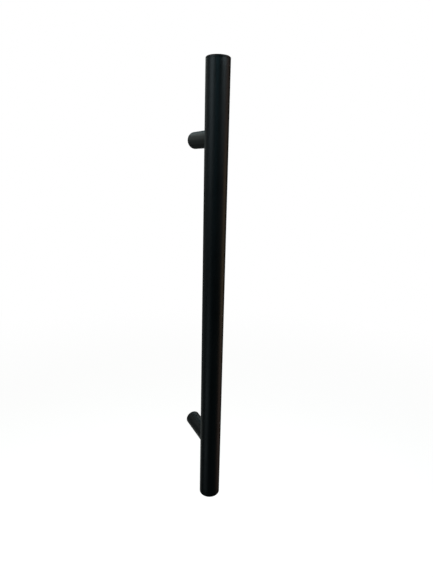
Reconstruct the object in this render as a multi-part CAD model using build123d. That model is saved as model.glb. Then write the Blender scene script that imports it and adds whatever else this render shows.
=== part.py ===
from build123d import *

import os

# A straight round door pull on two round posts, held by bolts from the far side of the door.
# Sizes are in millimetres. The origin is on the door's face, midway between the posts.
# The bar runs along Z, +Y points into the door and -Y towards the user.

# The handle as a whole
bar_length = 610.0
post_centres = 430.0
bar_axis_reach = 68.0

# The bar, a drawn tube
bar_diameter = 30.0
bar_wall = 1.5

# The turned cap that closes each end of the bar
cap_head_thickness = 3.0
cap_rim_chamfer = 1.0
cap_spigot_length = 10.0
cap_spigot_clearance = 0.05

# The post, with a saddle end that fits the bar and a bore from the door side
post_diameter = 22.0
post_shoulder_thickness = 8.0
post_foot_chamfer = 0.6
post_bore_chamfer = 0.5
saddle_clearance = 0.05

# The socket screw that pulls the post onto the bar
screw_diameter = 8.0
screw_engagement = 8.4
screw_tip_chamfer = 0.8
screw_head_diameter = 13.0
screw_head_height = 8.0
screw_head_chamfer = 0.6
screw_head_clearance = 0.5
screw_hole_clearance = 0.5
screw_socket_across_flats = 6.0
screw_socket_depth = 4.0
thread_clearance = 0.05

# The split spring washer under the screw's head, drawn closed up flat
washer_thickness = 2.0
washer_rim_inset = 0.15
washer_bore_clearance = 0.15
washer_slit = 1.0
washer_slit_slant = 20.0

# The saddle nut inside the bar, round on the side that lies against the tube
nut_length = 24.0
nut_thickness = 10.0
nut_seat_clearance = 0.05

# The fixing bush in the post's foot, threaded for the bolt that comes through the door
bush_length = 18.0
bush_clearance = 0.05
bush_thread_core_diameter = 6.8
bush_mouth_chamfer = 0.7
bush_groove_width = 6.4
bush_groove_depth = 1.5

# The grub screw under the post, which locks the post to its bush
grub_diameter = 5.0
grub_height = 9.0
grub_recess = 0.45
grub_point_clearance = 0.1
grub_point_chamfer = 0.9
grub_rim_chamfer = 0.35
grub_socket_across_flats = 2.5
grub_socket_floor = 2.4

# Radii that follow from the sizes above
bar_radius = bar_diameter / 2
tube_bore_radius = bar_radius - bar_wall
spigot_radius = tube_bore_radius - cap_spigot_clearance
nut_radius = tube_bore_radius - nut_seat_clearance
post_radius = post_diameter / 2
screw_radius = screw_diameter / 2
screw_head_radius = screw_head_diameter / 2
screw_hole_radius = screw_radius + screw_hole_clearance
tapped_radius = screw_radius + thread_clearance
post_bore_radius = screw_head_radius + screw_head_clearance
bush_radius = post_bore_radius - bush_clearance
bush_core_radius = bush_thread_core_diameter / 2
groove_floor_radius = bush_radius - bush_groove_depth
grub_radius = grub_diameter / 2
grub_tip_radius = groove_floor_radius + grub_point_clearance
grub_top_radius = post_radius - grub_recess

# Levels in a post, measured from the door's face towards the user
saddle_level = bar_axis_reach - bar_radius - saddle_clearance
shoulder_level = saddle_level - post_shoulder_thickness
head_seat_level = shoulder_level - washer_thickness
head_top_level = head_seat_level - screw_head_height
nut_near_level = bar_axis_reach - nut_radius
nut_far_level = nut_near_level + nut_thickness
screw_tip_level = nut_near_level + screw_engagement


def post_frame(height):
    """The frame of one post: Z runs from the door's face towards the user, and Y is up."""
    return Plane(origin=(0, 0, height), x_dir=(1, 0, 0), z_dir=(0, -1, 0))


post_frames = {
    "upper": post_frame(post_centres / 2),
    "lower": post_frame(-post_centres / 2),
}

# The bar's own frame has its axis on Z, and a grub screw's frame points down out of the post
bar_frame = Pos(0, -bar_axis_reach, 0)
grub_frame = Pos(0, 0, grub_height) * Rot(90, 0, 0)


def rod(radius, start, end):
    """A round rod along Z between two levels."""
    foot = (Align.CENTER, Align.CENTER, Align.MIN)
    return Pos(0, 0, start) * Cylinder(radius, end - start, align=foot)


def bar_rod(radius, length):
    """A round rod on the bar's axis, in a post's frame and centred on the post."""
    return Pos(0, 0, bar_axis_reach) * Rot(90, 0, 0) * Cylinder(radius, length)


def hex_socket(across_flats, start, end):
    """The hollow of a hexagon socket along Z between two levels."""
    hexagon = RegularPolygon(across_flats / 2, 6, major_radius=False)
    return Pos(0, 0, start) * extrude(hexagon, end - start)


def rims(solid, level, radius):
    """The circular edges of one radius at one level of Z."""
    circles = solid.edges().filter_by(GeomType.CIRCLE)
    return circles.filter_by(
        lambda edge: abs(edge.radius - radius) < 0.001 and abs(edge.center().Z - level) < 0.001
    )


def make_bar_tube():
    """The tube between the two caps, drilled from the door side for the post screws."""
    half = bar_length / 2 - cap_head_thickness
    tube = bar_frame * (rod(bar_radius, -half, half) - rod(tube_bore_radius, -half, half))
    for frame in post_frames.values():
        tube -= frame * rod(screw_hole_radius, saddle_level, bar_axis_reach)
    return tube


def make_cap():
    """The top cap: a round head that ends the bar, and a spigot down inside the tube."""
    top = bar_length / 2
    seat = top - cap_head_thickness
    cap = rod(bar_radius, seat, top) + rod(spigot_radius, seat - cap_spigot_length, seat)
    return bar_frame * chamfer(rims(cap, top, bar_radius), cap_rim_chamfer)


def make_post():
    """A post in its own frame: saddle end, screw bore with a shoulder, and the grub screw's hole."""
    post = rod(post_radius, 0, bar_axis_reach)
    post = chamfer(rims(post, 0, post_radius), post_foot_chamfer)
    post -= bar_rod(bar_radius + saddle_clearance, 2 * post_diameter)
    post -= rod(post_bore_radius, 0, shoulder_level)
    post = chamfer(rims(post, 0, post_bore_radius), post_bore_chamfer)
    post -= rod(screw_hole_radius, shoulder_level, bar_axis_reach)
    return post - grub_frame * rod(grub_radius + thread_clearance, 0, post_diameter)


def make_post_screw():
    """A socket head cap screw, with its head towards the door and its tip in the saddle nut."""
    screw = rod(screw_head_radius, head_top_level, head_seat_level)
    screw += rod(screw_radius, head_seat_level, screw_tip_level)
    screw = chamfer(rims(screw, head_top_level, screw_head_radius), screw_head_chamfer)
    screw = chamfer(rims(screw, screw_tip_level, screw_radius), screw_tip_chamfer)
    socket_floor = head_top_level + screw_socket_depth
    return screw - hex_socket(screw_socket_across_flats, head_top_level, socket_floor)


def make_spring_washer():
    """A square-section ring with one slanted slit, between the screw's head and the shoulder."""
    outer = screw_head_radius - washer_rim_inset
    inner = screw_radius + washer_bore_clearance
    ring = rod(outer, head_seat_level, shoulder_level)
    ring -= rod(inner, head_seat_level, shoulder_level)
    middle = (head_seat_level + shoulder_level) / 2
    cutter = Box(outer, washer_slit, 3 * washer_thickness, align=(Align.MIN, Align.CENTER, Align.CENTER))
    return ring - Pos(inner / 2, 0, middle) * Rot(washer_slit_slant, 0, 0) * cutter


def make_bar_nut():
    """A tapped block cut from round bar, with its round side against the tube's bore."""
    block = Pos(0, 0, nut_near_level) * Box(
        2 * nut_radius, nut_length, nut_thickness, align=(Align.CENTER, Align.CENTER, Align.MIN)
    )
    nut = block & bar_rod(nut_radius, nut_length)
    return nut - rod(tapped_radius, nut_near_level, nut_far_level)


def make_fixing_bush():
    """A threaded sleeve, flush with the post's foot, with a groove for the grub screw's point."""
    bush = rod(bush_radius, 0, bush_length) - rod(bush_core_radius, 0, bush_length)
    bush = chamfer(rims(bush, 0, bush_core_radius), bush_mouth_chamfer)
    start = grub_height - bush_groove_width / 2
    end = grub_height + bush_groove_width / 2
    return bush - (rod(bush_radius, start, end) - rod(groove_floor_radius, start, end))


def make_grub_screw():
    """A socket set screw that reaches from under the post's skin into the bush's groove."""
    screw = rod(grub_radius, grub_tip_radius, grub_top_radius)
    screw = chamfer(rims(screw, grub_tip_radius, grub_radius), grub_point_chamfer)
    screw = chamfer(rims(screw, grub_top_radius, grub_radius), grub_rim_chamfer)
    socket_floor = grub_tip_radius + grub_socket_floor
    return grub_frame * (screw - hex_socket(grub_socket_across_flats, socket_floor, grub_top_radius))


def make_pieces():
    """Every piece of the handle in its place, by name."""
    top_cap = make_cap()
    pieces = {
        "bar_tube": make_bar_tube(),
        "top_end_cap": top_cap,
        "bottom_end_cap": mirror(top_cap, Plane.XY),
    }
    in_post = {
        "post": make_post(),
        "post_screw": make_post_screw(),
        "spring_washer": make_spring_washer(),
        "bar_nut": make_bar_nut(),
        "fixing_bush": make_fixing_bush(),
        "grub_screw": make_grub_screw(),
    }
    for side, frame in post_frames.items():
        for name, piece in in_post.items():
            pieces[f"{side}_{name}"] = frame * piece
    return pieces


os.makedirs("parts", exist_ok=True)
for name, piece in make_pieces().items():
    export_step(piece, f"parts/{name}.step")
    print(f"{name}: {piece.volume / 1000:.2f} cm3")
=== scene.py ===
"""A matt black door pull: a round bar on two slimmer round posts, dressed for its render.

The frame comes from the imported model. Its origin is on the door's face, midway between the posts,
with Z up along the bar, Y into the door and X to the right of a user who faces the door. Lengths
are in metres, apart from names that end in _mm.
"""

import logging
import math
from abc import ABC, abstractmethod
from dataclasses import dataclass
from enum import Enum

import bmesh
import bpy
import numpy as np
from mathutils import Matrix, Vector


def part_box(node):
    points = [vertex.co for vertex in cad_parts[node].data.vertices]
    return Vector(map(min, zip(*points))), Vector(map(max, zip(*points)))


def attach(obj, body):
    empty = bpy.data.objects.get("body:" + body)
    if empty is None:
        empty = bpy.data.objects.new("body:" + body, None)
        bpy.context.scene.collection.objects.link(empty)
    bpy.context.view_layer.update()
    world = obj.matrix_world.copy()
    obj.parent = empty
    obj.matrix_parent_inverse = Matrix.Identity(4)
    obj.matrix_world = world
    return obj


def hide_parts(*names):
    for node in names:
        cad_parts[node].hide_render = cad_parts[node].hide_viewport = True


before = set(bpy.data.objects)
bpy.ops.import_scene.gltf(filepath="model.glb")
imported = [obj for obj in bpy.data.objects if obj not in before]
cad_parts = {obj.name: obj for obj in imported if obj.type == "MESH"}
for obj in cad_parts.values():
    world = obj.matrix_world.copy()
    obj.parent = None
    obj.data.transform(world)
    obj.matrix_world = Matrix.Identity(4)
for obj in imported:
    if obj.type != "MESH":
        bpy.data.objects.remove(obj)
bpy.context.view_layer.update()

log = logging.getLogger("door_pull")

Array = np.ndarray
Socket = bpy.types.NodeSocket
Colour = tuple[float, float, float, float]
Patterns = tuple[Socket, Socket, Socket]

BODY = "root"
MM = 0.001

# Points round each turned surface, a multiple of 12 so that hexagons get their corners
SEGMENTS = 192
# Points round the small turned pieces inside a post, also a multiple of 12
SMALL_SEGMENTS = 96
# Points round a drill, of which only the hole is seen
DRILL_SEGMENTS = 48
# Points on each rounded corner of a half section
ARC_POINTS = 5
# Points nearer than this are one point, well under the finest detail of 0.01 mm
WELD = 1e-7
# Faces that meet at more than this angle have a sharp edge between them
SHARP_EDGE = math.radians(34)
# The colour sockets of a Mix node, which has others of the same names
MIX_A, MIX_B, MIX_RESULT = 6, 7, 2


class Side(Enum):
    """Which of the two posts a piece belongs to."""

    UPPER = "upper"
    LOWER = "lower"


class Slot(Enum):
    """The material slots, by name."""

    COAT = "black_coat"
    ZINC = "zinc_steel"
    OXIDE = "black_oxide"


class Gel(Enum):
    """The tint of the sheet in front of a lamp."""

    NEUTRAL = "#F5FFFA"
    COOL = "#E0F6FF"
    BLUE = "#A0E8FF"
    WARM = "#FFDACC"
    AMBER = "#FFDEAB"


def linear(hex_colour: str) -> Colour:
    """Turn an sRGB hex colour into the linear values that a shader works in.

    Args:
        hex_colour: A colour such as "#1A2B3C".

    Returns:
        Red, green, blue and an alpha of 1. Each channel c is c / 12.92 up to 0.04045, and
        ((c + 0.055) / 1.055) to the power 2.4 above it.
    """
    channels = np.array([int(hex_colour[i : i + 2], 16) for i in (1, 3, 5)]) / 255
    lit = np.where(channels <= 0.04045, channels / 12.92, ((channels + 0.055) / 1.055) ** 2.4)
    return (*lit.tolist(), 1.0)


def add_node(
    tree: bpy.types.NodeTree,
    kind: str,
    inputs: dict[str | int, object] | None = None,
    **settings: object,
) -> bpy.types.Node:
    """Add one node with its settings and inputs.

    Args:
        tree: The node tree that gets the node.
        kind: The node's type name, such as "ShaderNodeMath".
        inputs: Each input's name or number with a plain value, or with the socket to link to it.
        **settings: Attributes of the node, such as operation.

    Returns:
        The new node.
    """
    node = tree.nodes.new(kind)
    for name, value in settings.items():
        setattr(node, name, value)
    for key, value in (inputs or {}).items():
        if isinstance(value, Socket):
            tree.links.new(value, node.inputs[key])
        else:
            node.inputs[key].default_value = value
    return node


def new_material(name: str) -> tuple[bpy.types.Material, bpy.types.NodeTree, bpy.types.Node]:
    """Make a material with an empty tree and an output.

    Args:
        name: The material's name.

    Returns:
        The material, its node tree and the output node.
    """
    material = bpy.data.materials.new(name)
    material.use_nodes = True
    tree = material.node_tree
    tree.nodes.clear()
    return material, tree, add_node(tree, "ShaderNodeOutputMaterial")


@dataclass(frozen=True)
class Finish(ABC):
    """A real finish, which shifts between two colours and about a middle roughness.

    Attributes:
        name: The material's name.
        colour: Its colour where the tint's pattern is 0.
        other_colour: Its colour where the tint's pattern is 1.
        roughness: Its middle roughness.
        roughness_swing: How far the roughness goes to each side of that.
        gleam_low: The value of the gleam's pattern that gives the lowest roughness.
        gleam_high: The value that gives the highest.
        metallic: 1 for bare or plated metal and 0 for paint.
    """

    name: str
    colour: str
    other_colour: str
    roughness: float
    roughness_swing: float
    gleam_low: float = 0.0
    gleam_high: float = 1.0
    metallic: float = 1.0

    @abstractmethod
    def patterns(self, tree: bpy.types.NodeTree, place: Socket) -> Patterns:
        """Add the finish's own patterns.

        Args:
            tree: The node tree that gets the nodes.
            place: The Object coordinates that the patterns read.

        Returns:
            The pattern of the tint, the pattern of the gleam and the normal of the relief.
        """

    def material(self) -> bpy.types.Material:
        """Build the material: its patterns drive its colour, roughness and relief.

        The colour is mixed by the tint's pattern. The roughness follows the gleam's pattern in a
        straight line from the middle roughness less the swing to the middle plus the swing.

        Returns:
            The material.
        """
        material, tree, output = new_material(self.name)
        place = add_node(tree, "ShaderNodeTexCoord").outputs["Object"]
        tint, gleam, normal = self.patterns(tree, place)
        colour = add_node(
            tree,
            "ShaderNodeMix",
            {"Factor": tint, MIX_A: linear(self.colour), MIX_B: linear(self.other_colour)},
            data_type="RGBA",
        )
        roughness = add_node(
            tree,
            "ShaderNodeMapRange",
            {
                "Value": gleam,
                "From Min": self.gleam_low,
                "From Max": self.gleam_high,
                "To Min": self.roughness - self.roughness_swing,
                "To Max": self.roughness + self.roughness_swing,
            },
        )
        shader = add_node(
            tree,
            "ShaderNodeBsdfPrincipled",
            {
                "Base Color": colour.outputs[MIX_RESULT],
                "Metallic": self.metallic,
                "Roughness": roughness.outputs["Result"],
                "Normal": normal,
            },
        )
        tree.links.new(shader.outputs["BSDF"], output.inputs["Surface"])
        return material


@dataclass(frozen=True)
class PowderCoat(Finish):
    """Polyester powder, sprayed on the blasted metal and baked: a dead matt black skin.

    To the eye it is a cool near-black with a broad dull sheen, which a fine grain and the slow
    waves of orange peel break up a little. The real grain is about 0.3 mm across, and it is drawn
    at 0.9 mm to show in a close view.

    Attributes:
        grain_mm: The size of the grain.
        grain_octaves: How many layers of finer noise the grain has.
        grain_height_mm: The height of the grain's relief.
        peel_mm: The size of the orange peel's waves.
        peel_octaves: How many layers of finer noise the waves have.
        peel_height_mm: The height of the waves.
        cloud_mm: The size of the slow clouds in the gleam.
        cloud_octaves: How many layers of finer noise the clouds have.
    """

    name: str = "matt_black_powder_coat"
    colour: str = "#010506"
    other_colour: str = "#030A0B"
    roughness: float = 0.42
    roughness_swing: float = 0.04
    gleam_low: float = 0.3
    gleam_high: float = 0.7
    metallic: float = 0.0
    grain_mm: float = 0.9
    grain_octaves: float = 2.0
    grain_height_mm: float = 0.035
    peel_mm: float = 5.0
    peel_octaves: float = 1.0
    peel_height_mm: float = 0.06
    cloud_mm: float = 60.0
    cloud_octaves: float = 3.0

    def patterns(self, tree: bpy.types.NodeTree, place: Socket) -> Patterns:
        """Add noise at three real scales: grain, orange peel and slow clouds.

        Args:
            tree: The node tree that gets the nodes.
            place: The Object coordinates that the patterns read.

        Returns:
            The grain for the tint, the clouds for the gleam, and a relief of grain over peel.
        """
        grain, peel, cloud = (
            add_node(
                tree,
                "ShaderNodeTexNoise",
                {"Vector": place, "Scale": 1 / (size_mm * MM), "Detail": octaves},
            ).outputs["Fac"]
            for size_mm, octaves in (
                (self.grain_mm, self.grain_octaves),
                (self.peel_mm, self.peel_octaves),
                (self.cloud_mm, self.cloud_octaves),
            )
        )
        waves = add_node(
            tree, "ShaderNodeBump", {"Height": peel, "Distance": self.peel_height_mm * MM}
        )
        relief = add_node(
            tree,
            "ShaderNodeBump",
            {
                "Height": grain,
                "Distance": self.grain_height_mm * MM,
                "Normal": waves.outputs["Normal"],
            },
        )
        return grain, cloud, relief.outputs["Normal"]


@dataclass(frozen=True)
class ZincPlate(Finish):
    """Turned steel with a thin bright zinc plate and a clear passivation.

    To the eye it is a pale, slightly blue-grey metal, with the tool's fine rings about the axis of
    the post and a soft shift between blue and straw yellow. The real feed is about 0.08 mm, and it
    is drawn at 0.25 mm to show in a close view.

    Attributes:
        feed_mm: The distance between the tool's rings.
        feed_height_mm: The height of the rings.
        stain_mm: The size of the stains.
        stain_octaves: How many layers of finer noise the stains have.
    """

    name: str = "bright_zinc_plate_on_turned_steel"
    colour: str = "#C3C7CB"
    other_colour: str = "#CEC6AE"
    roughness: float = 0.3
    roughness_swing: float = 0.08
    feed_mm: float = 0.25
    feed_height_mm: float = 0.003
    stain_mm: float = 4.0
    stain_octaves: float = 3.0

    def patterns(self, tree: bpy.types.NodeTree, place: Socket) -> Patterns:
        """Add the tool's rings about the post's axis, and stains by noise.

        The rings are a sine of the distance from the axis plus the distance along it, so that they
        show on faces and on round walls alike.

        Args:
            tree: The node tree that gets the nodes.
            place: The Object coordinates that the patterns read.

        Returns:
            The stains for the tint and the gleam, and the relief of the rings.
        """
        parts = add_node(tree, "ShaderNodeSeparateXYZ", {0: place})
        # Both posts' axes lie at one height above or below the origin, so the size of Z serves both
        height = add_node(tree, "ShaderNodeMath", {0: parts.outputs["Z"]}, operation="ABSOLUTE")
        from_axis = add_node(
            tree,
            "ShaderNodeMath",
            {0: height.outputs[0], 1: post_heights()[Side.UPPER]},
            operation="SUBTRACT",
        )
        across = add_node(
            tree, "ShaderNodeCombineXYZ", {"X": parts.outputs["X"], "Y": from_axis.outputs[0]}
        )
        radius = add_node(
            tree, "ShaderNodeVectorMath", {0: across.outputs[0]}, operation="LENGTH"
        )
        travel = add_node(
            tree,
            "ShaderNodeMath",
            {0: radius.outputs["Value"], 1: parts.outputs["Y"]},
            operation="ADD",
        )
        turns = add_node(
            tree,
            "ShaderNodeMath",
            {0: travel.outputs[0], 1: math.tau / (self.feed_mm * MM)},
            operation="MULTIPLY",
        )
        rings = add_node(tree, "ShaderNodeMath", {0: turns.outputs[0]}, operation="SINE")
        relief = add_node(
            tree,
            "ShaderNodeBump",
            {"Height": rings.outputs[0], "Distance": self.feed_height_mm * MM},
        )
        stain = add_node(
            tree,
            "ShaderNodeTexNoise",
            {"Vector": place, "Scale": 1 / (self.stain_mm * MM), "Detail": self.stain_octaves},
        ).outputs["Fac"]
        return stain, stain, relief.outputs["Normal"]


@dataclass(frozen=True)
class BlackOxide(Finish):
    """Hardened steel, blackened in a hot salt bath and oiled.

    To the eye it is a dark, slightly brown metal with an oily gleam, uneven where the oil has
    dried, and its rolled grain is too fine to see.

    Attributes:
        patch_mm: The size of the patches of dried oil.
        patch_octaves: How many layers of finer noise the patches have.
        patch_height_mm: The height of the patches.
    """

    name: str = "oiled_black_oxide_steel"
    colour: str = "#2B2A2A"
    other_colour: str = "#3A3632"
    roughness: float = 0.36
    roughness_swing: float = 0.1
    patch_mm: float = 1.5
    patch_octaves: float = 4.0
    patch_height_mm: float = 0.002

    def patterns(self, tree: bpy.types.NodeTree, place: Socket) -> Patterns:
        """Add patches of dried oil by noise.

        Args:
            tree: The node tree that gets the nodes.
            place: The Object coordinates that the patterns read.

        Returns:
            The patches for the tint and the gleam, and their relief.
        """
        patch = add_node(
            tree,
            "ShaderNodeTexNoise",
            {"Vector": place, "Scale": 1 / (self.patch_mm * MM), "Detail": self.patch_octaves},
        ).outputs["Fac"]
        relief = add_node(
            tree,
            "ShaderNodeBump",
            {"Height": patch, "Distance": self.patch_height_mm * MM},
        )
        return patch, patch, relief.outputs["Normal"]


@dataclass(frozen=True)
class Axis:
    """Where a turned piece stands: the start of its axis and the directions of its three axes.

    Attributes:
        origin: The point at level 0 on the axis, in metres.
        across: The direction at an angle of 0 round the axis.
        along: The direction in which levels grow.
    """

    origin: tuple[float, float, float]
    across: tuple[float, float, float]
    along: tuple[float, float, float]

    def points(self, radius: Array, level: Array, angle: Array) -> Array:
        """Place rings in the frame.

        Args:
            radius: Distances from the axis, in metres.
            level: Distances along the axis, in metres.
            angle: Angles round the axis, in radians.

        Returns:
            One row of X, Y and Z for each point: the origin, plus the radius along the direction at
            its angle, plus the level along the axis.
        """
        across, along = np.array(self.across), np.array(self.along)
        beside = np.cross(along, across)
        radius, level, angle = np.broadcast_arrays(radius, level, angle)
        out = np.outer(np.cos(angle), across) + np.outer(np.sin(angle), beside)
        return np.array(self.origin) + radius.reshape(-1, 1) * out + np.outer(level, along)


@dataclass(frozen=True)
class Thread:
    """A metric screw thread about a piece's axis.

    Attributes:
        pitch: The rise of one turn, in metres.
        depth: How deep the groove is cut, in metres.
        run_out: The length over which the groove fades at each end, in metres.
        flat: How much of the pitch is flat at each crest, and at each root.
        rows_per_turn: How many rings of points one turn gets.
    """

    pitch: float
    depth: float
    run_out: float
    flat: float = 0.125
    rows_per_turn: int = 12

    def levels(self, start: float, end: float) -> Array:
        """The levels of the thread's rings, evenly spaced from one end to the other."""
        rows = round(abs(end - start) / self.pitch * self.rows_per_turn)
        return np.linspace(start, end, rows)

    def groove(self, level: Array, angle: Array) -> Array:
        """How deep the thread is cut at each point.

        Args:
            level: Levels as a column.
            angle: Angles as a row.

        Returns:
            Depths in metres. The fraction of a turn is level / pitch less angle / 360 degrees, and
            a triangle wave of it, with its tips cut flat, gives the crests and roots. The wave is
            faded to nothing over the run-out at each end.
        """
        turn = level / self.pitch - angle / math.tau
        wave = np.abs(2 * (turn - np.floor(turn)) - 1)
        flanks = np.clip((wave - self.flat) / (1 - 2 * self.flat), 0, 1)
        inside = np.minimum(level - level.min(), level.max() - level)
        return self.depth * flanks * np.clip(inside / self.run_out, 0, 1)


def rounded(corners: list[tuple[float, float]], size: float) -> Array:
    """Round the inner corners of a half section with arcs.

    An arc touches both sides of its corner. Its centre lies on the corner's bisector at the radius
    over the sine of half the corner's angle, and its points turn evenly from one touching point to
    the other.

    Args:
        corners: Radius and level of each corner, in order. The first and last stay as they are.
        size: The arcs' radius, in metres.

    Returns:
        One row of radius and level for each point.
    """
    points = np.array(corners)
    here, before, after = points[1:-1], points[:-2], points[2:]
    back = (before - here) / np.linalg.norm(before - here, axis=1, keepdims=True)
    ahead = (after - here) / np.linalg.norm(after - here, axis=1, keepdims=True)
    half = np.arccos(np.clip((back * ahead).sum(1), -1, 1))[:, None] / 2
    bisector = (back + ahead) / np.linalg.norm(back + ahead, axis=1, keepdims=True)
    centre = here + bisector * size / np.sin(half)
    first = here + back * size / np.tan(half) - centre
    last = here + ahead * size / np.tan(half) - centre
    sweep = (math.pi - 2 * half)[:, None, :]
    share = np.linspace(0, 1, ARC_POINTS)[None, :, None]
    arc = np.sin((1 - share) * sweep) * first[:, None, :]
    arc += np.sin(share * sweep) * last[:, None, :]
    arcs = (centre[:, None, :] + arc / np.sin(sweep)).reshape(-1, 2)
    return np.vstack([points[:1], arcs, points[-1:]])


def stretched(start: tuple[float, float], end: tuple[float, float], rows: int) -> Array:
    """Evenly spaced points on a straight side of a half section, without its two ends."""
    return np.linspace(start, end, rows + 2)[1:-1]


class Turning:
    """A surface of rings about one axis, built up ring by ring along a half section."""

    def __init__(self, segments: int = SEGMENTS) -> None:
        """Start with no rings.

        Args:
            segments: How many points each ring gets.
        """
        self.angle = np.arange(segments) * math.tau / segments
        self.radius: list[Array] = []
        self.level: list[Array] = []

    def rings(self, radius: Array, level: Array) -> "Turning":
        """Add rings whose radius and level may change with the angle.

        Args:
            radius: Radii, as a column for circles or with one value for each point.
            level: Levels, in the same form.

        Returns:
            This surface.
        """
        shape = (max(len(radius), len(level)), len(self.angle))
        self.radius.append(np.broadcast_to(radius, shape))
        self.level.append(np.broadcast_to(level, shape))
        return self

    def circles(self, profile: Array) -> "Turning":
        """Add plain circles, one for each row of radius and level."""
        return self.rings(profile[:, :1], profile[:, 1:])

    def hexagons(self, profile: Array) -> "Turning":
        """Add hexagons, with half the width across flats in place of each radius."""
        # A hexagon's radius is that half width over the cosine of the angle from its flat's middle
        from_flat = (self.angle + math.pi / 6) % (math.pi / 3) - math.pi / 6
        return self.rings(profile[:, :1] / np.cos(from_flat), profile[:, 1:])

    def threaded(self, thread: Thread, radius: float, start: float, end: float) -> "Turning":
        """Add a thread cut into the outside of a rod: the radius less the groove's depth."""
        level = thread.levels(start, end)[:, None]
        return self.rings(radius - thread.groove(level, self.angle), level)

    def tapped(self, thread: Thread, radius: float, start: float, end: float) -> "Turning":
        """Add a thread cut into the wall of a hole: the radius plus the groove's depth."""
        level = thread.levels(start, end)[:, None]
        return self.rings(radius + thread.groove(level, self.angle), level)

    def piece(self, name: str, axis: Axis, closed: bool) -> bpy.types.Object:
        """Skin the rings with faces.

        Args:
            name: The new object's name.
            axis: Where the surface stands.
            closed: Whether the last ring joins the first. If not, both lie on the axis.

        Returns:
            The object, at the origin, with its place in its mesh.
        """
        radius, level = np.vstack(self.radius), np.vstack(self.level)
        faces = grid_faces(*radius.shape, rows_close=closed)
        return skinned(name, axis.points(radius, level, self.angle), faces.tolist())


def grid_faces(rows: int, columns: int, rows_close: bool) -> Array:
    """The four-sided faces of a grid of points whose rows run all the way round.

    Each face takes a point, the next one in its row, and the two in the same places a row on.

    Args:
        rows: How many rows of points there are.
        columns: How many points each row has, of which the last joins the first.
        rows_close: Whether the last row joins the first too.

    Returns:
        One row of four point numbers for each face.
    """
    numbers = np.arange(rows * columns).reshape(rows, columns)
    down = np.roll(numbers, -1, axis=0)
    corners = np.stack(
        [numbers, np.roll(numbers, -1, axis=1), np.roll(down, -1, axis=1), down], axis=-1
    )
    last_row = rows if rows_close else rows - 1
    return corners[:last_row].reshape(-1, 4)


def plain_piece(name: str, points: Array, faces: list[list[int]]) -> bpy.types.Object:
    """Make an object of points and faces just as they are.

    Args:
        name: The new object's name.
        points: One row of X, Y and Z for each point, already in place.
        faces: The point numbers of each face.

    Returns:
        The object, linked to the scene.
    """
    mesh = bpy.data.meshes.new(name)
    mesh.from_pydata(points.tolist(), [], faces)
    piece = bpy.data.objects.new(name, mesh)
    bpy.context.scene.collection.objects.link(piece)
    return piece


def skinned(name: str, points: Array, faces: list[list[int]]) -> bpy.types.Object:
    """Make an object of points and faces, welded, facing outwards and smooth.

    Args:
        name: The new object's name.
        points: One row of X, Y and Z for each point, already in place.
        faces: The point numbers of each face.

    Returns:
        The object, linked to the scene.
    """
    piece = plain_piece(name, points, faces)
    work = bmesh.new()
    work.from_mesh(piece.data)
    bmesh.ops.remove_doubles(work, verts=work.verts, dist=WELD)
    bmesh.ops.recalc_face_normals(work, faces=work.faces)
    work.to_mesh(piece.data)
    work.free()
    smooth(piece.data)
    return piece


def smooth(mesh: bpy.types.Mesh) -> None:
    """Shade a mesh smooth, apart from its sharp edges."""
    mesh.polygons.foreach_set("use_smooth", np.ones(len(mesh.polygons), bool))
    mesh.set_sharp_from_angle(angle=SHARP_EDGE)


def drilled(piece: bpy.types.Object, cutter: bpy.types.Object) -> bpy.types.Object:
    """Cut one solid out of another and delete the cutter.

    Args:
        piece: The solid that is cut.
        cutter: The solid that is taken away.

    Returns:
        The piece, with its new mesh.
    """
    cut = piece.modifiers.new("cut", "BOOLEAN")
    cut.operation, cut.solver, cut.object = "DIFFERENCE", "EXACT", cutter
    graph = bpy.context.evaluated_depsgraph_get()
    mesh = bpy.data.meshes.new_from_object(piece.evaluated_get(graph))
    piece.modifiers.clear()
    old, piece.data = piece.data, mesh
    mesh.name = piece.name
    bpy.data.meshes.remove(old)
    bpy.data.meshes.remove(cutter.data)
    smooth(mesh)
    return piece


def dress(
    piece: bpy.types.Object, finish: bpy.types.Material, node: str
) -> bpy.types.Object:
    """Give a new piece its material and its body, and hide the CAD node that it stands for.

    Args:
        piece: The finished piece.
        finish: Its material.
        node: The CAD node that the piece replaces.

    Returns:
        The same piece, dressed.
    """
    piece.data.materials.clear()
    piece.data.materials.append(finish)
    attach(piece, BODY)
    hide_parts(node)
    return piece


def post_heights() -> dict[Side, float]:
    """The height of each post's axis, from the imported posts' boxes."""
    return {side: sum(corner.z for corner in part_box(f"{side.value}_post")) / 2 for side in Side}


def post_axis(height: float) -> Axis:
    """The axis of a post at a height, from the door's face towards the user."""
    return Axis((0, 0, height), (1, 0, 0), (0, -1, 0))


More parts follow.
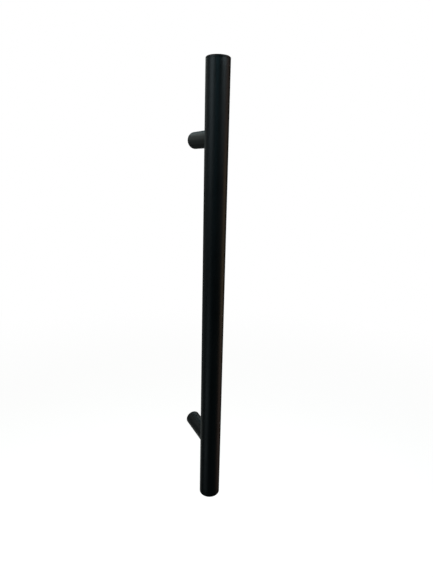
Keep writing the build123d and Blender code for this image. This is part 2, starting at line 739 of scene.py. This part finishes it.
@dataclass
class Bar:
    """The bar: a tube from cap to cap, drilled behind for the two post screws, and its two caps.

    Attributes:
        wall_mm: The tube's wall.
        hole_mm: The diameter of the screw holes.
        edge_break_mm: How far the tube's and caps' seam edges are rounded.
        cap_head_mm: The thickness of a cap's head.
        cap_bevel_mm: The bevel round a cap's outer face.
        cap_soft_mm: How far the coat rounds the bevel's two edges.
        spigot_mm: How far a cap's spigot reaches into the tube.
        spigot_clearance_mm: The gap between the spigot and the tube.
        wall_rows: How many rings the tube's wall gets between its ends.
    """

    wall_mm: float = 1.5
    hole_mm: float = 9.0
    edge_break_mm: float = 0.1
    cap_head_mm: float = 3.0
    cap_bevel_mm: float = 1.0
    cap_soft_mm: float = 0.3
    spigot_mm: float = 10.0
    spigot_clearance_mm: float = 0.05
    wall_rows: int = 58

    def __post_init__(self) -> None:
        """Read the bar's radius, reach and ends from the frame."""
        low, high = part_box("bar_tube")
        self.radius = (high.x - low.x) / 2
        self.reach = -(low.y + high.y) / 2
        self.tube_end = high.z
        self.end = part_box("top_end_cap")[1].z
        self.bore = self.radius - self.wall_mm * MM

    def axis(self, direction: float) -> Axis:
        """The bar's axis, with levels that grow upwards for 1 and downwards for -1."""
        return Axis((0, -self.reach, 0), (1, 0, 0), (0, 0, direction))

    def tube(self) -> bpy.types.Object:
        """Turn the tube from its half section, a long thin rectangle, and drill it.

        Returns:
            The tube.
        """
        end, edge = self.tube_end, self.edge_break_mm * MM
        lower = rounded([(self.bore, -end), (self.radius, -end), (self.radius, 0)], edge)
        upper = rounded([(self.radius, 0), (self.radius, end), (self.bore, end)], edge)
        skin = stretched((self.radius, edge - end), (self.radius, end - edge), self.wall_rows)
        tube = (
            Turning()
            .circles(lower[:-1])
            .circles(skin)
            .circles(upper[1:])
            .circles(stretched((self.bore, end), (self.bore, -end), self.wall_rows))
            .piece("bar_tube_coated", self.axis(1), closed=True)
        )
        hole = self.hole_mm / 2 * MM
        drill = np.array([(0, 0), (hole, 0), (hole, self.reach), (0, self.reach)])
        for side, height in post_heights().items():
            cutter = Turning(DRILL_SEGMENTS).circles(drill)
            drilled(tube, cutter.piece(f"{side.value}_drill", post_axis(height), closed=False))
        return tube

    def cap(self, name: str, direction: float) -> bpy.types.Object:
        """Turn a cap from its half section: head, bevelled rim, seam and spigot.

        Args:
            name: The cap's name.
            direction: 1 for the top cap and -1 for the bottom one.

        Returns:
            The cap.
        """
        bevel, edge = self.cap_bevel_mm * MM, self.edge_break_mm * MM
        seat = self.end - self.cap_head_mm * MM
        face = rounded(
            [
                (0, self.end),
                (self.radius - bevel, self.end),
                (self.radius, self.end - bevel),
                (self.radius, seat),
            ],
            self.cap_soft_mm * MM,
        )
        spigot = self.bore - self.spigot_clearance_mm * MM
        foot = seat - self.spigot_mm * MM
        seam = rounded([(self.radius, self.end), (self.radius, seat), (0, seat)], edge)
        stem = rounded([(spigot, seat), (spigot, foot), (0, foot)], edge)
        return (
            Turning()
            .circles(face[:-1])
            .circles(seam[1:-1])
            .circles(stem)
            .piece(name, self.axis(direction), closed=False)
        )

    def build(self, coat: bpy.types.Material) -> list[bpy.types.Object]:
        """Make the tube and both caps and coat them.

        Args:
            coat: The black coat.

        Returns:
            The tube, the top cap and the bottom cap.
        """
        return [
            dress(self.tube(), coat, "bar_tube"),
            dress(self.cap("top_cap_coated", 1), coat, "top_end_cap"),
            dress(self.cap("bottom_cap_coated", -1), coat, "bottom_end_cap"),
        ]


@dataclass
class Post:
    """One post: a turned rod with a saddle end, a stepped bore and a grub screw hole below.

    Attributes:
        side: Which post it is.
        bar: The bar that the saddle fits.
        saddle_gap_mm: The gap between the saddle and the bar.
        foot_bevel_mm: The bevel round the foot.
        foot_wall_mm: How far from the door the wall's rings start to follow the saddle.
        bore_mm: The diameter of the bore from the door side.
        bore_bevel_mm: The bevel at the bore's mouth.
        screw_hole_mm: The diameter of the hole through the shoulder.
        shoulder_mm: The thickness of the shoulder under the saddle's crown.
        soft_mm: How far the coat rounds the outer edges.
        grub_hole_mm: The diameter of the grub screw's hole.
        grub_height_mm: How far the hole's axis is from the door.
        grub_rim_mm: How far the hole's rim is countersunk.
        wall_rows: How many rings the wall gets from the foot to the saddle.
        edge_rows: How many rings round the saddle's edge.
        saddle_rows: How many rings the saddle gets from its edge to the hole.
    """

    side: Side
    bar: Bar
    saddle_gap_mm: float = 0.05
    foot_bevel_mm: float = 0.6
    foot_wall_mm: float = 2.4
    bore_mm: float = 14.0
    bore_bevel_mm: float = 0.5
    screw_hole_mm: float = 9.0
    shoulder_mm: float = 8.0
    soft_mm: float = 0.2
    grub_hole_mm: float = 5.1
    grub_height_mm: float = 9.0
    grub_rim_mm: float = 0.3
    wall_rows: int = 25
    edge_rows: int = 4
    saddle_rows: int = 9

    def __post_init__(self) -> None:
        """Read the post's radius and height from the frame."""
        low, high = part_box(f"{self.side.value}_post")
        self.radius = (high.x - low.x) / 2
        self.height = post_heights()[self.side]
        self.saddle_radius = self.bar.radius + self.saddle_gap_mm * MM
        self.shoulder = self.bar.reach - self.saddle_radius - self.shoulder_mm * MM

    @property
    def axis(self) -> Axis:
        """The post's axis, from the door's face towards the user."""
        return post_axis(self.height)

    @property
    def grub_axis(self) -> Axis:
        """The grub screw's axis, from the post's own axis downwards."""
        return Axis((0, -self.grub_height_mm * MM, self.height), (1, 0, 0), (0, 0, -1))

    def saddle(self, radius: Array, angle: Array) -> Array:
        """The saddle's levels, by the distance from the post's axis and the angle round it."""
        # The reach, less the root of the saddle's radius squared less the sideways distance squared
        return self.bar.reach - np.sqrt(self.saddle_radius**2 - (radius * np.cos(angle)) ** 2)

    def turned(self) -> bpy.types.Object:
        """Turn the post, with rings from the foot up the wall, over the saddle and down the bore.

        On the wall a ring's level is blended from the flat foot to the saddle's edge by the ring's
        share of the way up. A quarter turn then rounds the saddle's edge, measured down from the
        saddle itself.

        Returns:
            The post, without the grub screw's hole.
        """
        bore, hole = self.bore_mm / 2 * MM, self.screw_hole_mm / 2 * MM
        mouth, bevel, soft = self.bore_bevel_mm * MM, self.foot_bevel_mm * MM, self.soft_mm * MM
        wall = self.foot_wall_mm * MM
        foot = rounded(
            [
                (bore + mouth, 0),
                (self.radius - bevel, 0),
                (self.radius, bevel),
                (self.radius, wall),
            ],
            soft,
        )
        turning = Turning().circles(foot)
        share = np.linspace(0, 1, self.wall_rows + 1)[1:, None]
        edge = self.saddle(self.radius, turning.angle) - soft
        turning.rings(np.full_like(share, self.radius), (1 - share) * wall + share * edge)
        quarter = np.linspace(0, math.pi / 2, self.edge_rows + 1)[1:, None]
        inset = self.radius - soft * (1 - np.cos(quarter))
        turning.rings(inset, self.saddle(inset, turning.angle) - soft * (1 - np.sin(quarter)))
        across = np.linspace(self.radius - soft, hole, self.saddle_rows + 1)[1:, None]
        turning.rings(across, self.saddle(across, turning.angle))
        inside = [(hole, self.shoulder), (bore, self.shoulder), (bore, mouth)]
        turning.circles(np.array(inside))
        return turning.piece(f"{self.side.value}_post_coated", self.axis, closed=True)

    def build(self, coat: bpy.types.Material) -> bpy.types.Object:
        """Make the post, drill the countersunk hole for its grub screw and coat it.

        Args:
            coat: The black coat.

        Returns:
            The dressed post.
        """
        hole, rim = self.grub_hole_mm / 2 * MM, self.grub_rim_mm * MM
        drill = np.array(
            [
                (0, 0),
                (hole, 0),
                (hole, self.radius - rim),
                (hole + 2 * rim, self.radius + rim),
                (0, self.radius + rim),
            ]
        )
        cutter = Turning(DRILL_SEGMENTS).circles(drill)
        post = drilled(self.turned(), cutter.piece("grub_drill", self.grub_axis, closed=False))
        return dress(post, coat, f"{self.side.value}_post")


@dataclass
class FixingSet:
    """What one post holds inside: bush, grub screw, post screw, spring washer and bar nut.

    Attributes:
        post: The post that holds the set.
        bush_clearance_mm: The gap between the bush and the post's bore.
        bush_length_mm: The bush's length from the door's face.
        core_mm: The core diameter of the bush's thread.
        mouth_mm: The bevel at the thread's mouth.
        groove_mm: The width of the groove for the grub screw.
        groove_depth_mm: The groove's depth.
        m8: The thread of the post screw and the bush.
        m5: The thread of the grub screw.
        edge_mm: How far turned edges are broken.
        grub_mm: The grub screw's diameter.
        grub_recess_mm: How far its top lies under the post's skin.
        grub_point_gap_mm: The gap between its point and the groove's floor.
        grub_point_mm: The bevel at its point.
        grub_flats_mm: The width across flats of its socket.
        grub_floor_mm: The metal left under its socket.
        screw_mm: The post screw's diameter.
        screw_reach_mm: How far the screw goes into the bar nut.
        screw_tip_mm: The bevel at its tip.
        head_mm: The diameter of its head.
        head_height_mm: The head's height.
        head_bevel_mm: The bevel at the head's top.
        head_flats_mm: The width across flats of its socket.
        head_socket_mm: The socket's depth.
        knurl_count: How many ridges the head's knurling has.
        knurl_depth_mm: The knurling's depth.
        nut_gap_mm: The gap between the nut and the tube.
        washer_mm: The washer's thickness.
        washer_inset_mm: How far the washer's rim is inside the head's.
        washer_gap_mm: The gap between the washer and the screw.
        slit_mm: The width of the washer's slit.
        slit_slant: The slit's slant from the axis, in degrees.
        sweep_rows: How many times the washer's section is set round the ring.
    """

    post: Post
    bush_clearance_mm: float = 0.05
    bush_length_mm: float = 18.0
    core_mm: float = 6.8
    mouth_mm: float = 0.7
    groove_mm: float = 6.4
    groove_depth_mm: float = 1.5
    m8: Thread = Thread(pitch=1.25 * MM, depth=0.6 * MM, run_out=1.0 * MM)
    m5: Thread = Thread(pitch=0.8 * MM, depth=0.4 * MM, run_out=0.4 * MM)
    edge_mm: float = 0.15
    grub_mm: float = 5.0
    grub_recess_mm: float = 0.45
    grub_point_gap_mm: float = 0.1
    grub_point_mm: float = 0.9
    grub_flats_mm: float = 2.5
    grub_floor_mm: float = 2.4
    screw_mm: float = 8.0
    screw_reach_mm: float = 8.4
    screw_tip_mm: float = 0.8
    head_mm: float = 13.0
    head_height_mm: float = 8.0
    head_bevel_mm: float = 0.6
    head_flats_mm: float = 6.0
    head_socket_mm: float = 4.0
    knurl_count: int = 48
    knurl_depth_mm: float = 0.15
    nut_gap_mm: float = 0.05
    washer_mm: float = 2.0
    washer_inset_mm: float = 0.15
    washer_gap_mm: float = 0.15
    slit_mm: float = 1.0
    slit_slant: float = 20.0
    sweep_rows: int = 121

    def name(self, piece: str) -> str:
        """The name of one of the set's CAD nodes."""
        return f"{self.post.side.value}_{piece}"

    def bush(self) -> bpy.types.Object:
        """Turn the bush: grooved outside, and tapped M8 inside from mouth to end.

        Returns:
            The bush.
        """
        radius = (self.post.bore_mm / 2 - self.bush_clearance_mm) * MM
        floor = radius - self.groove_depth_mm * MM
        core, mouth, edge = self.core_mm / 2 * MM, self.mouth_mm * MM, self.edge_mm * MM
        middle, half = self.post.grub_height_mm * MM, self.groove_mm / 2 * MM
        length = self.bush_length_mm * MM
        outside = rounded(
            [
                (core + mouth, 0),
                (radius, 0),
                (radius, middle - half),
                (floor, middle - half),
                (floor, middle + half),
                (radius, middle + half),
                (radius, length),
                (core, length),
            ],
            edge,
        )
        return (
            Turning(SMALL_SEGMENTS)
            .circles(outside)
            .tapped(self.m8, core, length - edge, mouth)
            .piece(f"{self.name('fixing_bush')}_tapped", self.post.axis, closed=True)
        )

    def grub_screw(self) -> bpy.types.Object:
        """Turn the grub screw: bevelled point, M5 thread and hexagon socket.

        Returns:
            The grub screw.
        """
        bush = (self.post.bore_mm / 2 - self.bush_clearance_mm) * MM
        tip = bush - (self.groove_depth_mm - self.grub_point_gap_mm) * MM
        top = self.post.radius - self.grub_recess_mm * MM
        radius, point, edge = self.grub_mm / 2 * MM, self.grub_point_mm * MM, self.edge_mm * MM
        flat, floor = self.grub_flats_mm / 2 * MM, tip + self.grub_floor_mm * MM
        nose = rounded(
            [(0, tip), (radius - point, tip), (radius, tip + point), (radius, top)], edge
        )
        crown = rounded([(radius, tip), (radius - edge, top), (0, top)], edge)
        socket = np.array([(flat + edge / 2, top), (flat, top - edge / 2), (flat, floor)])
        return (
            Turning(SMALL_SEGMENTS)
            .circles(nose[:-1])
            .threaded(self.m5, radius, tip + point + edge, top - 2 * edge)
            .circles(crown[1:-1])
            .hexagons(socket)
            .circles(np.array([(0, floor)]))
            .piece(f"{self.name('grub_screw')}_threaded", self.post.grub_axis, closed=False)
        )

    def post_screw(self) -> bpy.types.Object:
        """Turn the post screw: knurled socket head towards the door, shank and M8 thread.

        The knurling is a triangle wave round the head, taken off its radius.

        Returns:
            The post screw.
        """
        seat = self.post.shoulder - self.washer_mm * MM
        crown = seat - self.head_height_mm * MM
        near = self.post.bar.reach - self.post.bar.bore + self.nut_gap_mm * MM
        tip = near + self.screw_reach_mm * MM
        head, shank = self.head_mm / 2 * MM, self.screw_mm / 2 * MM
        bevel, point, edge = self.head_bevel_mm * MM, self.screw_tip_mm * MM, self.edge_mm * MM
        flat, floor = self.head_flats_mm / 2 * MM, crown + self.head_socket_mm * MM
        socket = np.array([(flat, floor), (flat, crown + edge), (flat + edge, crown)])
        rim = rounded(
            [(flat, crown), (head - bevel, crown), (head, crown + bevel), (head, seat)], edge
        )
        base = rounded([(head, crown), (head, seat), (shank, seat)], edge)
        turning = Turning().circles(np.array([(0, floor)])).hexagons(socket).circles(rim[1:-1])
        ridges = np.abs((turning.angle * self.knurl_count / math.tau) % 1 * 2 - 1)
        knurled = np.array([[crown + 2 * bevel], [seat - bevel]])
        turning.rings(head - self.knurl_depth_mm * MM * ridges[None, :], knurled)
        turning.circles(base[1:-1]).circles(np.array([(shank, seat)]))
        turning.threaded(self.m8, shank, seat + self.washer_mm * MM, tip - point)
        turning.circles(np.array([(shank - point, tip), (0, tip)]))
        return turning.piece(f"{self.name('post_screw')}_threaded", self.post.axis, closed=False)

    def spring_washer(self) -> bpy.types.Object:
        """Sweep the washer's square section round the screw, from side to side of the slit.

        The slit's sides lean with the slant, so the sweep starts and ends at an angle that grows
        with the level: half the slit, plus the level from the washer's middle times the slant's
        tangent, over the radius. A fan of the section about its own middle closes each end.

        Returns:
            The spring washer.
        """
        high = self.post.shoulder
        low = high - self.washer_mm * MM
        inner = (self.screw_mm / 2 + self.washer_gap_mm) * MM
        outer = (self.head_mm / 2 - self.washer_inset_mm) * MM
        middle = (inner + outer) / 2
        corners = [(outer, low), (outer, high), (inner, high), (inner, low)]
        seam = (middle, low)
        section = rounded([seam, *corners, seam], self.edge_mm * MM)[:-1]
        radius, level = section.T
        lean = math.tan(math.radians(self.slit_slant)) * (level - (low + high) / 2)
        start = (self.slit_mm / 2 * MM + lean) / radius
        end = math.tau - (self.slit_mm / 2 * MM - lean) / radius
        angle = start + np.linspace(0, 1, self.sweep_rows)[:, None] * (end - start)
        rows, columns = angle.shape
        points = self.post.axis.points(radius, level, angle)
        hubs = points.reshape(rows, columns, 3)[[0, -1]].mean(axis=1)
        faces = grid_faces(rows, columns, rows_close=False).tolist()
        ring = np.arange(columns)
        for first, hub in ((0, rows * columns), ((rows - 1) * columns, rows * columns + 1)):
            fan = [first + ring, first + np.roll(ring, -1), np.full(columns, hub)]
            faces += np.stack(fan, axis=-1).tolist()
        name = f"{self.name('spring_washer')}_split"
        return skinned(name, np.vstack([points, hubs]), faces)

    def build(
        self, zinc: bpy.types.Material, oxide: bpy.types.Material
    ) -> list[bpy.types.Object]:
        """Make the set's pieces and give each its finish. The hidden bar nut keeps its CAD form.

        Args:
            zinc: The plate on the bush, the screw, the washer and the nut.
            oxide: The blackening of the grub screw.

        Returns:
            The four dressed pieces and the bar nut.
        """
        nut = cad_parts[self.name("bar_nut")]
        nut.data.materials.clear()
        nut.data.materials.append(zinc)
        return [
            dress(self.bush(), zinc, self.name("fixing_bush")),
            dress(self.grub_screw(), oxide, self.name("grub_screw")),
            dress(self.post_screw(), zinc, self.name("post_screw")),
            dress(self.spring_washer(), zinc, self.name("spring_washer")),
            nut,
        ]


@dataclass(frozen=True)
class Softbox:
    """A soft rectangular lamp that faces the bar.

    Attributes:
        name: The lamp's name.
        azimuth: Where it hangs as seen from the bar's middle, in degrees from +Y towards +X.
        elevation: How high it hangs as seen from there, in degrees.
        width: Its width in metres.
        height: Its height in metres.
        glow: Its own brightness, where 1 is the white of the backdrop.
        gel: The tint of its sheet.
        aim: The height of the point on the bar that it faces.
        distance: How far it is from the bar's middle.
    """

    name: str
    azimuth: float
    elevation: float
    width: float
    height: float
    glow: float
    gel: Gel
    aim: float = 0.0
    distance: float = 1.5

    def build(self, reach: float) -> None:
        """Hang the lamp. Its power is its glow times pi times its area.

        Args:
            reach: How far the bar's axis is from the door.
        """
        lamp = bpy.data.lights.new(self.name, "AREA")
        lamp.shape, lamp.size, lamp.size_y = "RECTANGLE", self.width, self.height
        lamp.energy = self.glow * math.pi * self.width * self.height
        lamp.color = linear(self.gel.value)[:3]
        holder = bpy.data.objects.new(self.name, lamp)
        azimuth, elevation = math.radians(self.azimuth), math.radians(self.elevation)
        level = math.cos(elevation)
        away = Vector((level * math.sin(azimuth), level * math.cos(azimuth), math.sin(elevation)))
        centre = Vector((0, -reach, 0)) + away * self.distance
        ahead = Vector((0, -reach, self.aim)) - centre
        turn = ahead.to_track_quat("-Z", "Y").to_matrix().to_4x4()
        holder.matrix_world = Matrix.Translation(centre) @ turn
        holder.visible_camera = False
        bpy.context.scene.collection.objects.link(holder)


@dataclass(frozen=True)
class Viewpoint:
    """The camera, where the photograph was taken from.

    Attributes:
        eye: The camera's place.
        azimuth: Where it looks, in degrees from +Y towards +X.
        pitch: How far it looks down, in degrees.
        roll: How far it is turned clockwise about its own axis, in degrees.
        focal_px: Its focal length in pixels of a picture 577 pixels high.
        picture_px: The picture's longer side.
        sensor_mm: The width of the sensor's longer side.
        clip: The nearest and the furthest that it sees.
    """

    eye: tuple[float, float, float] = (-0.24084, -0.56724, 0.18104)
    azimuth: float = 26.176
    pitch: float = 15.912
    roll: float = 1.297
    focal_px: float = 426.37
    picture_px: int = 577
    sensor_mm: float = 36.0
    clip: tuple[float, float] = (0.01, 100.0)

    def build(self) -> None:
        """Set the camera up: rolled about its own axis, tilted up from straight down, swung."""
        camera = bpy.data.cameras.new("viewpoint")
        camera.sensor_width = self.sensor_mm
        camera.lens = self.focal_px * self.sensor_mm / self.picture_px
        camera.clip_start, camera.clip_end = self.clip
        holder = bpy.data.objects.new("viewpoint", camera)
        swing = Matrix.Rotation(math.radians(-self.azimuth), 4, "Z")
        tilt = Matrix.Rotation(math.radians(90 - self.pitch), 4, "X")
        turn = Matrix.Rotation(math.radians(self.roll), 4, "Z")
        holder.matrix_world = Matrix.Translation(self.eye) @ swing @ tilt @ turn
        bpy.context.scene.collection.objects.link(holder)
        bpy.context.scene.camera = holder


@dataclass(frozen=True)
class Studio:
    """A plain studio: pale floor, white surroundings, soft lamps and black cloth round the set.

    The cloth stands where a photographer hangs it to keep a black handle black: behind the lamps,
    all round and overhead. Only glossy surfaces see it, so it takes no light off the set.

    Attributes:
        floor_depth: How far the floor is below the handle's middle.
        floor_reach: Half the floor's width.
        floor_colour: The floor's colour.
        floor_near: The distance from the middle within which the floor is bare paint.
        floor_far: The distance beyond which it has faded into the white surroundings.
        floor_lift: The brightness added to the paint where it is seen, so that it reads as white.
        fill: How bright the surroundings are as a source of light on the handle.
        cloth_radius: The radius of the cloth that stands round the set.
        cloth_top: How high the cloth reaches over the handle's middle.
        cloth_colour: The cloth's colour.
        cloth_gap: How far the cloth lies over the floor, and the radius of its middle.
        cloth_columns: How many points the cloth has all round.
    """

    floor_depth: float = 1.3
    floor_reach: float = 12.0
    floor_colour: str = "#F4F4F2"
    floor_near: float = 1.5
    floor_far: float = 4.0
    floor_lift: float = 0.58
    fill: float = 0.4
    cloth_radius: float = 2.1
    cloth_top: float = 1.9
    cloth_colour: str = "#101010"
    cloth_gap: float = 0.01
    cloth_columns: int = 72

    @staticmethod
    def seen_directly(tree: bpy.types.NodeTree) -> Socket:
        """Tell rays that show a surface from rays that light one.

        Args:
            tree: The node tree that gets the nodes.

        Returns:
            A value of 1 for rays from the camera and from glossy or clear surfaces, and 0 for the
            rest.
        """
        path = add_node(tree, "ShaderNodeLightPath")
        total = path.outputs["Is Camera Ray"]
        for kind in ("Is Glossy Ray", "Is Transmission Ray"):
            pair = {0: total, 1: path.outputs[kind]}
            total = add_node(tree, "ShaderNodeMath", pair, operation="MAXIMUM").outputs[0]
        return total

    def surroundings(self) -> None:
        """Make the world white where it is seen, and a softer fill where it lights the handle."""
        world = bpy.data.worlds.new("surroundings")
        bpy.context.scene.world = world
        world.use_nodes = True
        tree = world.node_tree
        tree.nodes.clear()
        strength = add_node(
            tree,
            "ShaderNodeMapRange",
            {"Value": self.seen_directly(tree), "To Min": self.fill, "To Max": 1.0},
        )
        light = add_node(
            tree,
            "ShaderNodeBackground",
            {"Color": linear("#FFFFFF"), "Strength": strength.outputs["Result"]},
        )
        add_node(tree, "ShaderNodeOutputWorld", {"Surface": light.outputs[0]})

    def floor(self) -> None:
        """Lay the floor: pale paint that takes shadows, and that fades far off into plain white."""
        reach, depth = self.floor_reach, -self.floor_depth
        corner = np.array([(-reach, -reach), (reach, -reach), (reach, reach), (-reach, reach)])
        material, tree, output = new_material("pale_studio_floor")
        place = add_node(tree, "ShaderNodeTexCoord").outputs["Object"]
        level = add_node(
            tree, "ShaderNodeVectorMath", {0: place, 1: (1, 1, 0)}, operation="MULTIPLY"
        )
        distance = add_node(tree, "ShaderNodeVectorMath", {0: level.outputs[0]}, operation="LENGTH")
        far = add_node(
            tree,
            "ShaderNodeMapRange",
            {
                "Value": distance.outputs["Value"],
                "From Min": self.floor_near,
                "From Max": self.floor_far,
            },
            interpolation_type="SMOOTHSTEP",
        )
        seen = self.seen_directly(tree)
        some = add_node(tree, "ShaderNodeMath", {0: seen, 1: self.floor_lift}, operation="MULTIPLY")
        paint = add_node(tree, "ShaderNodeBsdfDiffuse", {"Color": linear(self.floor_colour)})
        lift, glow = (
            add_node(tree, "ShaderNodeEmission", {"Color": linear("#FFFFFF"), "Strength": strength})
            for strength in (some.outputs[0], seen)
        )
        near = add_node(tree, "ShaderNodeAddShader", {0: paint.outputs[0], 1: lift.outputs[0]})
        both = add_node(
            tree,
            "ShaderNodeMixShader",
            {0: far.outputs["Result"], 1: near.outputs[0], 2: glow.outputs[0]},
        )
        tree.links.new(both.outputs[0], output.inputs["Surface"])
        points = np.column_stack([corner, np.full(len(corner), depth)])
        self.stage_piece("floor", points, np.arange(len(corner))[None, :], material)

    def cloth(self) -> None:
        """Hang the cloth round and over the set, and lay it on the floor inside.

        Its points are the radius times the cosine and sine of evenly spaced angles. The rows of the
        grid are the middle of the floor, the foot of the wall, the wall's top and the middle of the
        roof.
        """
        material, tree, output = new_material("black_studio_cloth")
        paint = add_node(tree, "ShaderNodeBsdfDiffuse", {"Color": linear(self.cloth_colour)})
        tree.links.new(paint.outputs[0], output.inputs["Surface"])
        angle = np.arange(self.cloth_columns) * math.tau / self.cloth_columns
        foot = self.cloth_gap - self.floor_depth
        middle, wall, top = self.cloth_gap, self.cloth_radius, self.cloth_top
        rows = np.array([(middle, foot), (wall, foot), (wall, top), (middle, top)])
        upright = Axis((0, 0, 0), (1, 0, 0), (0, 0, 1))
        points = upright.points(rows[:, :1], rows[:, 1:], angle)
        faces = grid_faces(len(rows), self.cloth_columns, rows_close=False)
        piece = self.stage_piece("cloth", points, faces, material)
        piece.visible_camera = piece.visible_diffuse = piece.visible_shadow = False

    @staticmethod
    def stage_piece(
        name: str, points: Array, faces: Array, material: bpy.types.Material
    ) -> bpy.types.Object:
        """Make a piece of the studio, which isn't part of the handle.

        Args:
            name: The piece's name.
            points: One row of X, Y and Z for each point.
            faces: One row of point numbers for each face.
            material: The piece's material.

        Returns:
            The piece.
        """
        piece = plain_piece(name, points, faces.tolist())
        piece.data.materials.append(material)
        return piece

    @staticmethod
    def lamps() -> list[Softbox]:
        """Choose the soft lamps, by name, azimuth, elevation, width, height, glow and gel.

        Returns:
            Cool lamps at the left, warm ones at the right, dim ones behind and, among those, two
            small bright ones that light the posts.
        """
        return [
            Softbox("left_high", -100, 28, 0.9, 0.9, 1.55, Gel.COOL, aim=0.2),
            Softbox("left_low", -105, -32, 0.8, 0.8, 0.4, Gel.COOL),
            Softbox("left_back", -60, 5, 0.7, 1.6, 0.16, Gel.COOL),
            Softbox("front_left_high", -150, 28, 0.6, 0.8, 0.72, Gel.BLUE, aim=0.2, distance=1.6),
            Softbox("front_right_high", 143, 38, 0.9, 0.9, 1.9, Gel.COOL, aim=0.3, distance=1.6),
            Softbox("front_low", 170, -42, 1.2, 0.6, 0.04, Gel.BLUE, aim=-0.2, distance=1.45),
            Softbox("right_high", 105, 25, 0.8, 1.0, 0.4, Gel.WARM, aim=0.2),
            Softbox("right_middle", 105, -8, 0.8, 0.8, 0.7, Gel.AMBER),
            Softbox("right_low", 105, -34, 0.8, 0.8, 0.35, Gel.WARM),
            Softbox("back_right_high", 15, 20, 1.0, 0.8, 0.25, Gel.BLUE, distance=1.7),
            Softbox("back_right_small", 27, 6, 0.5, 0.3, 2.3, Gel.NEUTRAL, distance=1.7),
            Softbox("back_high_small", 2, 26, 0.5, 0.3, 1.25, Gel.NEUTRAL, distance=1.7),
            Softbox("back_left_high", -25, 20, 1.0, 0.8, 0.4, Gel.NEUTRAL, distance=1.7),
            Softbox("back_left_middle", -25, -8, 1.0, 0.7, 0.14, Gel.NEUTRAL, distance=1.7),
            Softbox("back_low", -10, -36, 1.8, 0.7, 0.15, Gel.NEUTRAL, distance=1.6),
            Softbox("back_foot", 0, -48, 1.2, 0.5, 0.18, Gel.NEUTRAL, aim=-0.25, distance=1.4),
        ]

    def build(self, reach: float) -> None:
        """Set the studio up.

        Args:
            reach: How far the bar's axis is from the door.
        """
        self.surroundings()
        self.floor()
        self.cloth()
        for lamp in self.lamps():
            lamp.build(reach)


def main() -> None:
    """Build the studio and the handle, in order, and report each of the handle's pieces."""
    logging.basicConfig(level=logging.INFO, format="%(name)s: %(message)s")
    bpy.context.scene.view_settings.view_transform = "Standard"
    Viewpoint().build()
    coat, zinc, oxide = PowderCoat().material(), ZincPlate().material(), BlackOxide().material()
    bar = Bar()
    Studio().build(bar.reach)
    pieces = bar.build(coat)
    for side in Side:
        post = Post(side, bar)
        pieces.append(post.build(coat))
        pieces += FixingSet(post).build(zinc, oxide)
    for piece in pieces:
        finish, faces = piece.active_material.name, len(piece.data.polygons)
        log.info("%s: %s, %d faces", piece.name, finish, faces)


if __name__ == "__main__":
    main()
